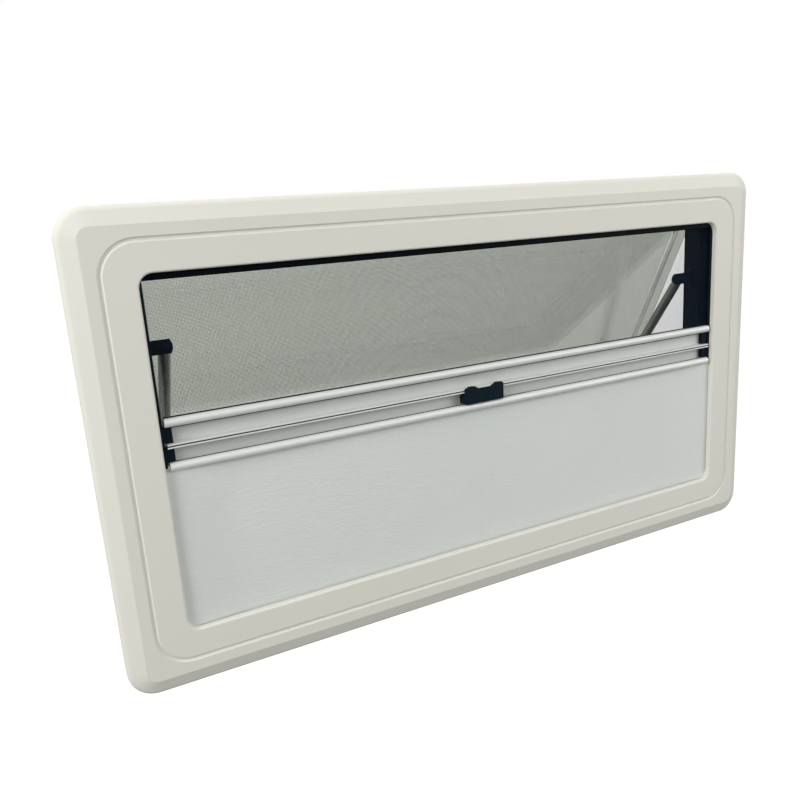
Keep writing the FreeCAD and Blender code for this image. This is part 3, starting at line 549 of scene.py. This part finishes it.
def addEndCap(bm, node, sign):
    low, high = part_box(node)
    end = high[0] if sign > 0 else low[0]
    part = bmesh.new()
    part.from_mesh(nodes[node].data)
    bmesh.ops.remove_doubles(part, verts=part.verts[:], dist=hingeCap["near"])
    others = [face for face in part.faces
              if any(abs(vert.co.x - end) > hingeCap["near"] for vert in face.verts)]
    bmesh.ops.delete(part, geom=others, context="FACES")
    bmesh.ops.dissolve_limit(part, angle_limit=hingeCap["flatAngle"], verts=part.verts[:],
                             edges=part.edges[:])
    part.normal_update()
    made = bmesh.ops.extrude_face_region(part, geom=part.faces[:])["geom"]
    moved = [item for item in made if isinstance(item, bmesh.types.BMVert)]
    bmesh.ops.translate(part, vec=(sign * hingeCap["thickness"], 0, 0), verts=moved)
    joinInto(bm, part, Matrix())


def buildHingeCaps():
    bm = bmesh.new()
    for node in ("pane_hinge_rail", "hinge_socket"):
        for sign in sides.values():
            addEndCap(bm, node, sign)
    makePiece(bm, "hingeCaps", blackPlastic)


buildEdgeStripAndShade()
buildGapShadeStrip()
buildGrooveShadeCords()
buildScrews()
buildGripRibs()
buildHingeCaps()
print("small pieces made")

# camera at the photograph's place, in metres from the row's origin
camera = {
    "place": Vector((-0.552, -0.8987, 0.4898)),
    "right": Vector((0.887, -0.4571, -0.0656)),
    "down": Vector((-0.1653, -0.1818, -0.9693)),
    "forward": Vector((0.4311, 0.8707, -0.2368)),
    "lens": 33.94,
    "sensor": 36.0,
    "nearest": 0.01,
}


def placeCamera():
    data = bpy.data.cameras.new("viewCamera")
    data.lens = camera["lens"]
    data.sensor_width = camera["sensor"]
    data.clip_start = camera["nearest"]
    obj = bpy.data.objects.new("viewCamera", data)
    scene.collection.objects.link(obj)
    turn = Matrix((camera["right"], -camera["down"], -camera["forward"])).transposed().to_4x4()
    obj.matrix_world = Matrix.Translation(camera["place"]) @ turn
    scene.camera = obj


# soft round lamps, of which the glossy surfaces mirror only the two on the room side
lamps = {
    "key": {"place": (-2.6, -1.0, 1.4), "size": 1.8, "power": 66, "mirrored": True},
    "fill": {"place": (2.0, -2.0, 1.2), "size": 2.2, "power": 42, "mirrored": True},
    "top": {"place": (0.0, 0.7, 2.8), "size": 2.0, "power": 18, "mirrored": False},
    "back": {"place": (0.8, 2.4, 2.0), "size": 2.4, "power": 14, "mirrored": False},
}
lampTarget = Vector((0, 0, 0.24))


def placeLights():
    for name, lamp in lamps.items():
        data = bpy.data.lights.new(name, "AREA")
        data.shape = "DISK"
        data.size = lamp["size"]
        data.energy = lamp["power"]
        obj = bpy.data.objects.new(name, data)
        scene.collection.objects.link(obj)
        place = Vector(lamp["place"])
        turn = (lampTarget - place).to_track_quat("-Z", "Y").to_matrix().to_4x4()
        obj.matrix_world = Matrix.Translation(place) @ turn
        obj.visible_transmission = False
        obj.visible_glossy = lamp["mirrored"]


def seenDirectly(tree, *rays):
    path = addNode(tree, "ShaderNodeLightPath")
    factor = path.outputs[rays[0]]
    for ray in rays[1:]:
        factor = mixFactor(tree, "MAXIMUM", factor, path.outputs[ray])
    return factor


# world that lights the object softly from below to above, and is white where it is seen
skyLight = {"below": 0.2, "above": 0.46, "seen": 1.0}


def placeWorld():
    world = bpy.data.worlds.new("studio")
    scene.world = world
    world.use_nodes = True
    tree = world.node_tree
    back = tree.nodes["Background"]
    back.inputs["Color"].default_value = (1, 1, 1, 1)
    coords = addNode(tree, "ShaderNodeTexCoord")
    split = addNode(tree, "ShaderNodeSeparateXYZ")
    tree.links.new(coords.outputs["Generated"], split.inputs[0])
    sky = addNode(tree, "ShaderNodeMapRange")
    tree.links.new(split.outputs["Z"], sky.inputs["Value"])
    sky.inputs["From Min"].default_value = -1.0  # straight down
    sky.inputs["To Min"].default_value = skyLight["below"]
    sky.inputs["To Max"].default_value = skyLight["above"]
    level = addNode(tree, "ShaderNodeMix", data_type="FLOAT")
    seen = seenDirectly(tree, "Is Camera Ray", "Is Transmission Ray", "Is Glossy Ray")
    tree.links.new(seen, level.inputs["Factor"])
    tree.links.new(sky.outputs["Result"], level.inputs["A"])
    level.inputs["B"].default_value = skyLight["seen"]
    tree.links.new(level.outputs["Result"], back.inputs["Strength"])


# pale floor: white to the eye, with the object's shadow kept
floor = {"drop": -0.8, "half": 200.0, "glow": 0.95, "seenColor": 0.2, "color": 0.3, "roughness": 0.9}


def placeFloor():
    bm = bmesh.new()
    bmesh.ops.create_grid(bm, x_segments=1, y_segments=1, size=floor["half"],
                          matrix=Matrix.Translation((0, 0, floor["drop"])))
    mesh = bpy.data.meshes.new("studioFloor")
    bm.to_mesh(mesh)
    bm.free()
    obj = bpy.data.objects.new("studioFloor", mesh)
    scene.collection.objects.link(obj)
    mat, tree, shader = newMaterial("studioFloor", floor["roughness"], specular=0.0)
    shader.inputs["Emission Color"].default_value = (1, 1, 1, 1)
    seen = seenDirectly(tree, "Is Camera Ray", "Is Transmission Ray")
    colorRange(tree, shader, seen, (floor["color"],) * 3, (floor["seenColor"],) * 3)
    glow = addNode(tree, "ShaderNodeMath", operation="MULTIPLY")
    tree.links.new(seen, glow.inputs[0])
    glow.inputs[1].default_value = floor["glow"]
    tree.links.new(glow.outputs[0], shader.inputs["Emission Strength"])
    mesh.materials.append(mat)


placeCamera()
placeLights()
placeWorld()
placeFloor()
print("camera, lights and floor placed")
